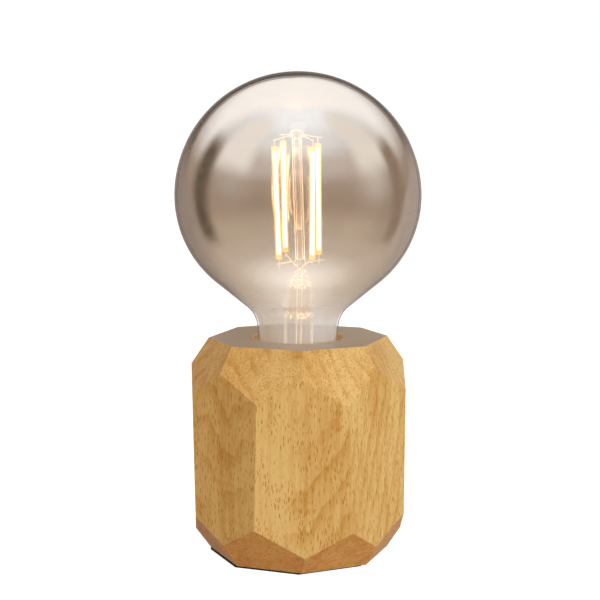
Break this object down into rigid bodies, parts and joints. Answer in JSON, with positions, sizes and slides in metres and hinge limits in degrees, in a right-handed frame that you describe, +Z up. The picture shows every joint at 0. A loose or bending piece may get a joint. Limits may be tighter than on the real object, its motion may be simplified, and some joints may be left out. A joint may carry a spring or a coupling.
{
  "type": "bare bulb table lamp",
  "caption": "Bare bulb table lamp: faceted octagonal wooden block with a deep well, holding a large smoke-mirrored globe filament bulb screwed into a hidden lampholder.",
  "frame": {"origin": "on the bulb's axis, at the underside of the foot pad", "axes": "+Z up the bulb's axis, +Y towards the back, where the cord leaves, -Y towards the front"},
  "size_m": [0.125, 0.125, 0.2469],
  "materials": {
    "wood": "oiled, fine open pores",
    "foot_rubber": "matt",
    "plate_steel": "plain",
    "zinc_steel": "zinc plated",
    "bush_plastic": "moulded",
    "holder_plastic": "moulded",
    "carrier_plastic": "glazed",
    "contact_brass": "pressed",
    "spring_steel": "drawn wire",
    "block_plastic": "moulded",
    "live_jacket": "extruded",
    "neutral_jacket": "extruded",
    "smoke_glass": "smoke tinted, half mirrored",
    "stem_glass": "clear, flame worked",
    "wire_metal": "drawn wire",
    "cap_metal": "nickel plated, rolled thread",
    "cap_glass": "black glass",
    "tip_metal": "tinned",
    "board": "lacquered",
    "board_parts": "sleeved",
    "board_wire": "tinned wire",
    "filament_glow": "lit yellow phosphor coat"
  },
  "bodies": {
    "lamp_base": {"wooden_block": "wood", "foot_pad": "foot_rubber", "base_plate": "plate_steel", "base_plate_screws": "zinc_steel", "threaded_tube": "zinc_steel", "tube_washer": "zinc_steel", "tube_nut": "zinc_steel", "block_screw": "zinc_steel", "clamp_screws": "zinc_steel", "terminal_screws": "zinc_steel", "cord_bush": "bush_plastic", "holder_cap": "holder_plastic", "holder_skirt": "holder_plastic", "contact_carrier": "carrier_plastic", "shell_strap": "contact_brass", "centre_strap": "contact_brass", "screw_shell": "contact_brass", "terminal_inserts": "contact_brass", "contact_spring": "spring_steel", "terminal_block": "block_plastic", "live_lead": "live_jacket", "neutral_lead": "neutral_jacket"},
    "contact_plunger": {"contact_plunger": "contact_brass"},
    "bulb_tip": {"cap_contact": "tip_metal"},
    "bulb": {"bulb_globe": "smoke_glass", "bulb_stem": "stem_glass", "exhaust_post": "stem_glass", "stem_bead": "stem_glass", "led_filament_1": "filament_glow", "led_filament_2": "filament_glow", "led_filament_3": "filament_glow", "led_filament_4": "filament_glow", "filament_clips": "wire_metal", "top_support_wires": "wire_metal", "lead_in_wires": "wire_metal", "bulb_cap": "cap_metal", "cap_insulator": "cap_glass", "driver_board": "board", "driver_parts": "board_parts", "driver_leads": "board_wire"}
  },
  "joints": [
    {"name": "bulb_rise", "type": "slide", "parent": "lamp_base", "child": "bulb_tip", "axis": [0, 0, 1], "range_m": [0, 0.0182]},
    {"name": "bulb_turn", "type": "hinge", "parent": "bulb_tip", "child": "bulb", "pos_m": [0, 0, 0], "axis": [0, 0, 1], "range_deg": [0, 1800]},
    {"name": "contact_press", "type": "slide", "parent": "lamp_base", "child": "contact_plunger", "axis": [0, 0, 1], "range_m": [-0.002, 0], "stiffness_N_per_m": 300, "deforming": ["contact_spring"]}
  ],
  "couplings": [
    {"joint": "bulb_rise", "follows": "bulb_turn", "m_per_rad": 0.00057757}
  ]
}
